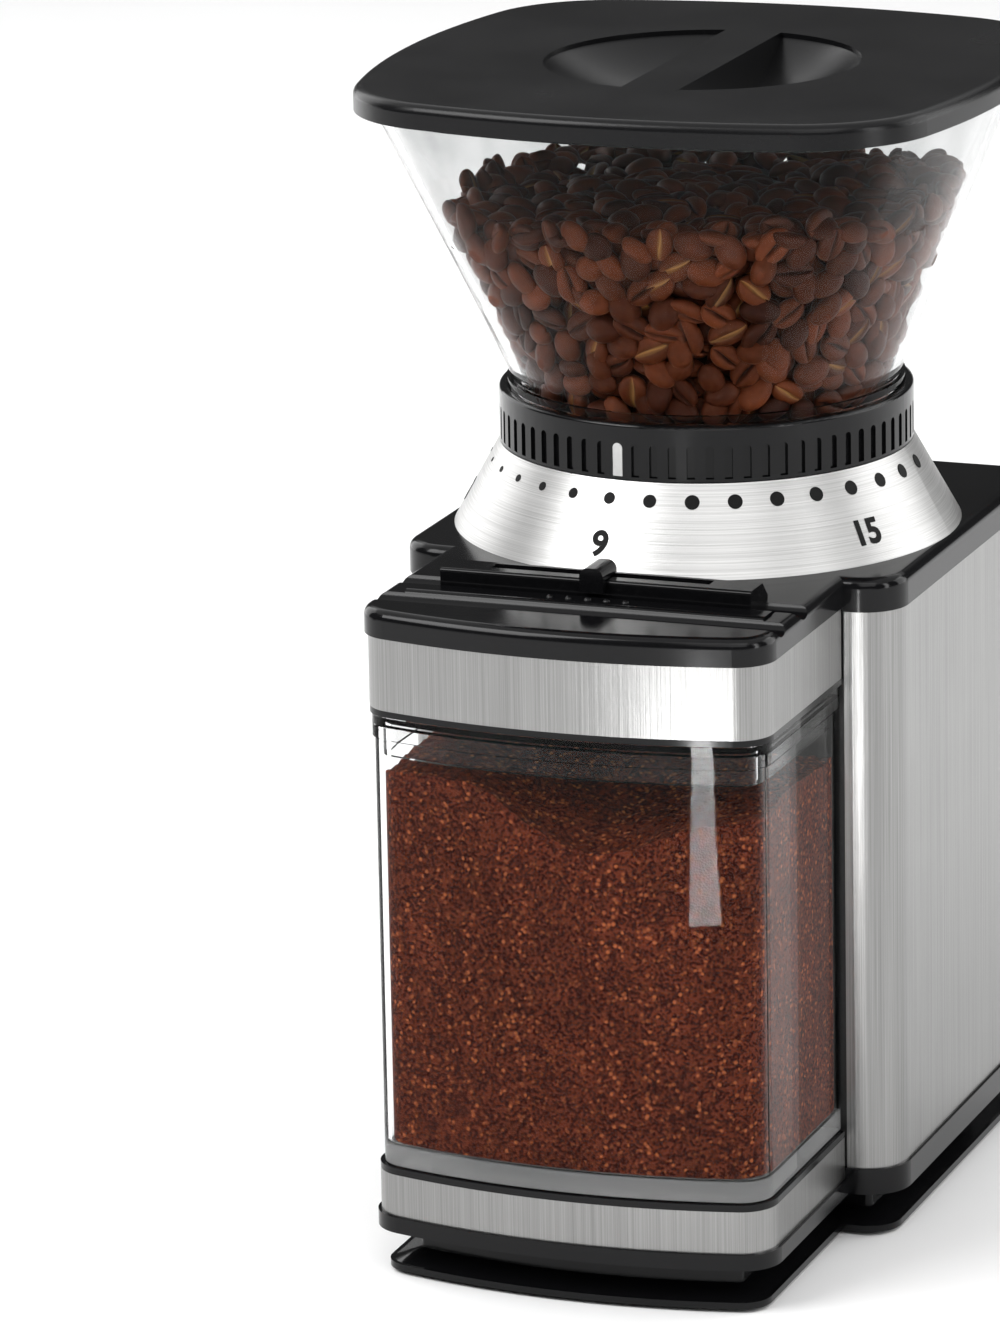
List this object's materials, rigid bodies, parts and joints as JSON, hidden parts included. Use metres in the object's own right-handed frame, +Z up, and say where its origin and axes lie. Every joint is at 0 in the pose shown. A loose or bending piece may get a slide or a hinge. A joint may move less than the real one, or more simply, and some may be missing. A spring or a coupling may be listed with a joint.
{
  "type": "burr coffee grinder",
  "caption": "Countertop burr coffee grinder: clear square hopper over a turning grind dial, steel-wrapped motor tower, and a clear pull-out grounds chamber under a control deck.",
  "frame": {"origin": "standing plane under the feet, under the middle of the outer box", "axes": "+Z up, the chamber and the controls face -Y, +X to the right seen from the front"},
  "size_m": [0.15, 0.1852, 0.273],
  "materials": {
    "base": "moulded black plastic, glossy",
    "head": "moulded black plastic, glossy",
    "deck": "moulded black plastic, glossy",
    "start_bar": "moulded black plastic, glossy",
    "slider_track": "moulded black plastic, glossy",
    "cup_slider": "moulded black plastic, glossy",
    "collar": "moulded black plastic, glossy",
    "hopper_lid": "moulded black plastic, satin",
    "tower": "moulded black plastic",
    "base_plate": "moulded black plastic",
    "burr_housing": "moulded black plastic",
    "chute": "moulded black plastic",
    "burr_carrier": "moulded black plastic",
    "adjusting_ring": "moulded black plastic",
    "hopper_floor": "moulded black plastic",
    "lower_band": "stainless sheet, brushed upright",
    "upper_band": "stainless sheet, brushed upright",
    "steel_wrap": "stainless sheet, brushed upright",
    "dial_skirt": "stainless sheet, brushed round the cone",
    "feet": "soft rubber",
    "cord_gland": "rubber grommet",
    "base_screws": "zinc-plated steel",
    "housing_screws": "zinc-plated steel",
    "plate_screws": "zinc-plated steel",
    "board_screws": "zinc-plated steel",
    "motor_bolts": "zinc-plated steel",
    "lower_burr": "hardened steel",
    "upper_burr": "hardened steel",
    "spindle": "hardened steel",
    "burr_nut": "hardened steel",
    "pinion": "hardened steel",
    "motor_shaft": "hardened steel",
    "spindle_bushes": "sintered bronze",
    "motor_bushes": "sintered bronze",
    "commutator": "copper segments",
    "brush_holders": "folded brass",
    "windings": "enamelled copper wire",
    "impeller": "moulded plastic",
    "drive_gear": "moulded nylon",
    "cooling_fan": "moulded plastic",
    "gear_plate": "die-cast",
    "upper_bracket": "die-cast",
    "lower_bracket": "die-cast",
    "stator": "stacked laminations",
    "armature": "stacked laminations",
    "brushes": "carbon",
    "control_board": "glass-fibre circuit board",
    "slide_sensor": "moulded body",
    "start_switch": "moulded body",
    "pointer": "white inlay",
    "hopper": "clear polymer",
    "chamber": "clear polymer",
    "chamber_lid": "clear polymer"
  },
  "bodies": {
    "housing": {"base": "base", "base_plate": "base_plate", "feet": "feet", "base_screws": "base_screws", "lower_band": "lower_band", "upper_band": "upper_band", "steel_wrap": "steel_wrap", "tower": "tower", "head": "head", "deck": "deck", "dial_skirt": "dial_skirt", "burr_housing": "burr_housing", "housing_screws": "housing_screws", "chute": "chute", "spindle_bushes": "spindle_bushes", "gear_plate": "gear_plate", "plate_screws": "plate_screws", "stator": "stator", "windings": "windings", "upper_bracket": "upper_bracket", "lower_bracket": "lower_bracket", "motor_bushes": "motor_bushes", "motor_bolts": "motor_bolts", "brush_holders": "brush_holders", "brushes": "brushes", "slider_track": "slider_track", "control_board": "control_board", "board_screws": "board_screws", "slide_sensor": "slide_sensor", "start_switch": "start_switch", "cord_gland": "cord_gland"},
    "adjuster": {"adjusting_ring": "adjusting_ring"},
    "carrier": {"burr_carrier": "burr_carrier", "upper_burr": "upper_burr"},
    "hopper": {"hopper": "hopper", "hopper_floor": "hopper_floor", "collar": "collar", "pointer": "pointer"},
    "lid": {"hopper_lid": "hopper_lid"},
    "burr_drive": {"spindle": "spindle", "drive_gear": "drive_gear", "impeller": "impeller", "lower_burr": "lower_burr", "burr_nut": "burr_nut"},
    "rotor": {"motor_shaft": "motor_shaft", "armature": "armature", "commutator": "commutator", "cooling_fan": "cooling_fan", "pinion": "pinion"},
    "chamber": {"chamber": "chamber", "chamber_lid": "chamber_lid"},
    "start_bar": {"start_bar": "start_bar"},
    "cup_slider": {"cup_slider": "cup_slider"}
  },
  "joints": [
    {"name": "grind_adjust", "type": "hinge", "parent": "housing", "child": "adjuster", "pos_m": [0, 0.01765, 0.183], "axis": [0, 0, 1], "range_deg": [-89.2, 100.35]},
    {"name": "burr_height", "type": "slide", "parent": "adjuster", "child": "carrier", "axis": [0, 0, 1], "range_m": [-0.00062, 0.0007]},
    {"name": "hopper_lift", "type": "slide", "parent": "adjuster", "child": "hopper", "axis": [0, 0, 1], "range_m": [0, 0.06]},
    {"name": "lid_lift", "type": "slide", "parent": "hopper", "child": "lid", "axis": [0, 0, 1], "range_m": [0, 0.05]},
    {"name": "chamber_slide", "type": "slide", "parent": "housing", "child": "chamber", "axis": [0, -1, 0], "range_m": [0, 0.07]},
    {"name": "start_press", "type": "slide", "parent": "housing", "child": "start_bar", "axis": [0, 0, -1], "range_m": [0, 0.0015], "stiffness_N_per_m": 600, "springref_m": -0.001},
    {"name": "cup_slide", "type": "slide", "parent": "housing", "child": "cup_slider", "axis": [1, 0, 0], "range_m": [-0.025, 0.025]},
    {"name": "motor_spin", "type": "hinge", "parent": "housing", "child": "rotor", "pos_m": [0, 0.05365, 0.08], "axis": [0, 0, 1], "continuous": true},
    {"name": "burr_spin", "type": "hinge", "parent": "housing", "child": "burr_drive", "pos_m": [0, 0.01765, 0.15], "axis": [0, 0, 1], "continuous": true}
  ],
  "couplings": [
    {"joint": "burr_height", "follows": "grind_adjust", "m_per_rad": 0.00038197},
    {"joint": "burr_spin", "follows": "motor_spin", "ratio": -0.26316}
  ]
}
